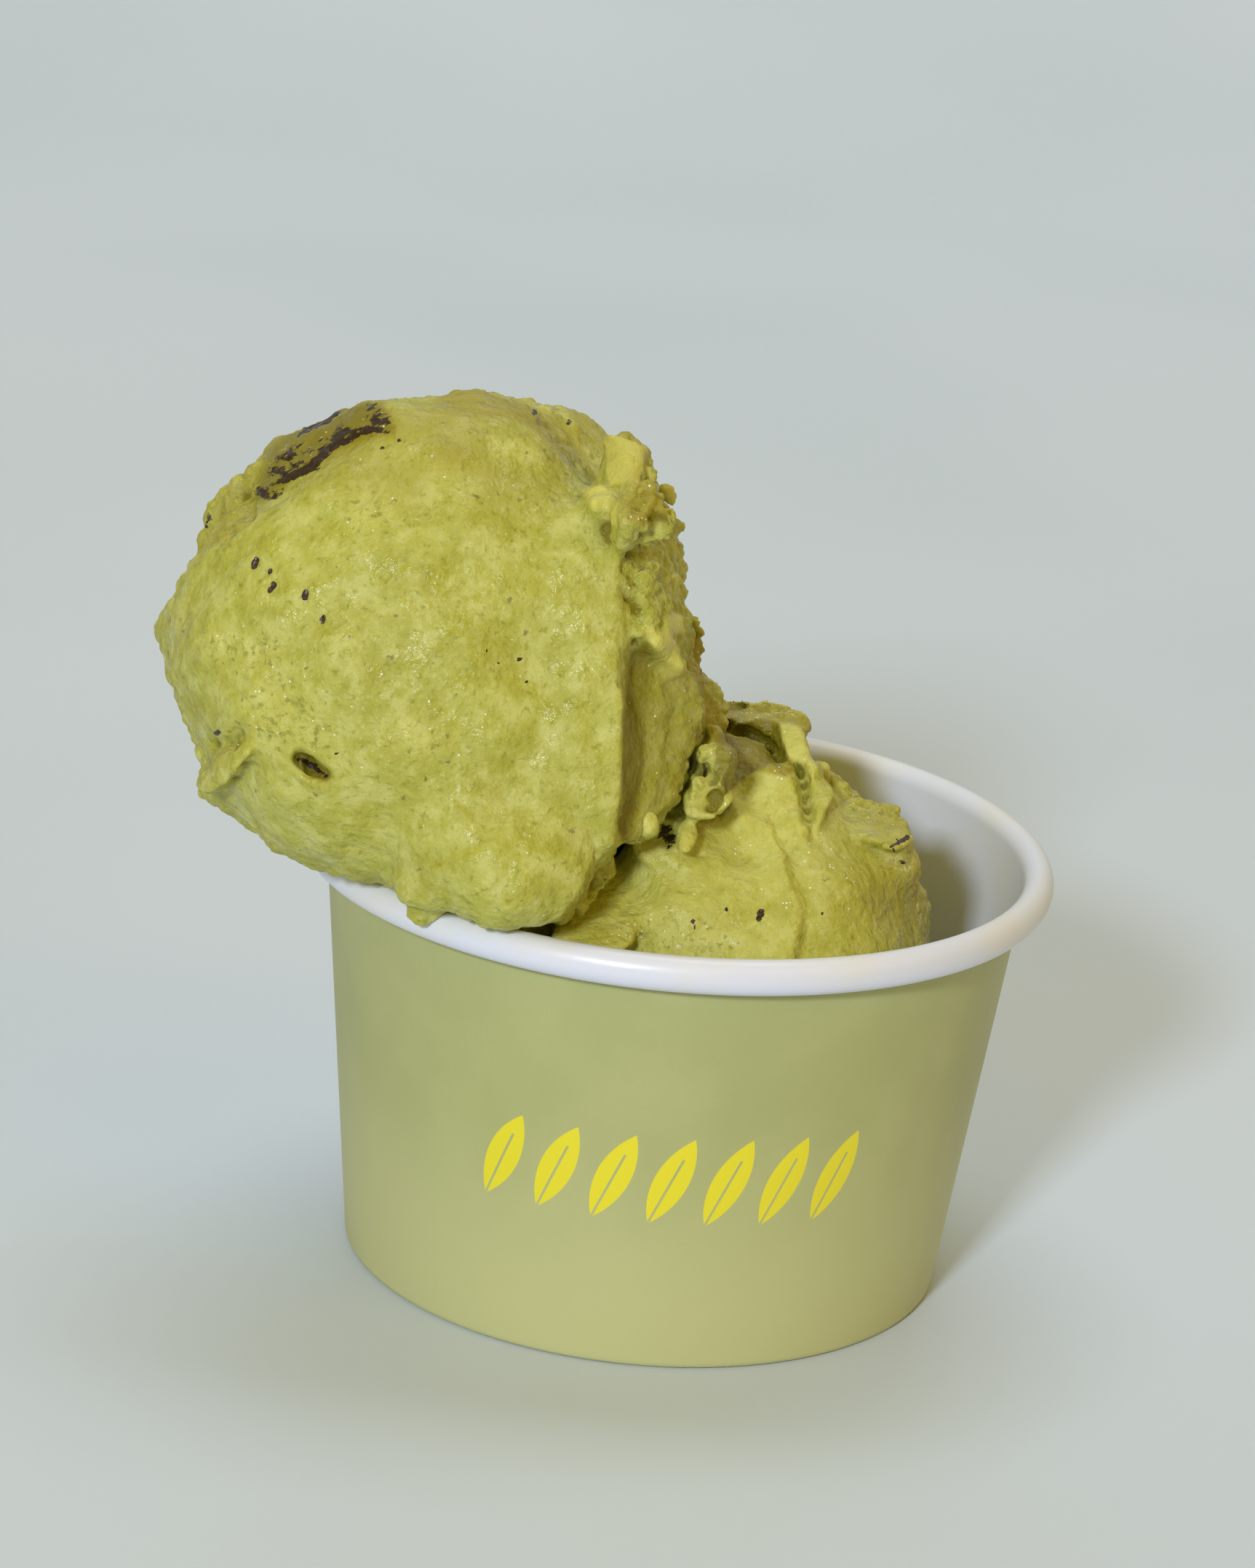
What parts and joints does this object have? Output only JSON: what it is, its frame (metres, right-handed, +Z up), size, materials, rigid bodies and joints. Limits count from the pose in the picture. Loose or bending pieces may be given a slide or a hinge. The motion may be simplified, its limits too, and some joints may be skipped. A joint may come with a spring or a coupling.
{
  "type": "gelato cup",
  "caption": "Small paper cup with a rolled rim, holding a large scoop of pistachio gelato that leans over its side and a smaller scoop with folded smears.",
  "frame": {"origin": "centre of the bounding box's lower face, on the surface that the cup stands on; the cup's own axis is 9 mm further to +X, because the large scoop overhangs on the -X side", "axes": "+Z up along the cup's axis; -Y towards the front, from which the smooth face of the large scoop shows; +X to the right, where the small scoop is"},
  "size_m": [0.1076, 0.0912, 0.1063],
  "materials": {
    "printed_paper": "satin print, white on its inner face and over the rolled rim",
    "white_paper": "smooth, softly glossy coating",
    "gelato": "soft and moist, satin with small wet glints",
    "nut_skin": "dark, rough, slightly wet"
  },
  "bodies": {
    "root": {"cup_wall": "printed_paper", "cup_bottom": "white_paper", "gelato_large": "gelato", "gelato_small": "gelato"}
  },
  "joints": []
}
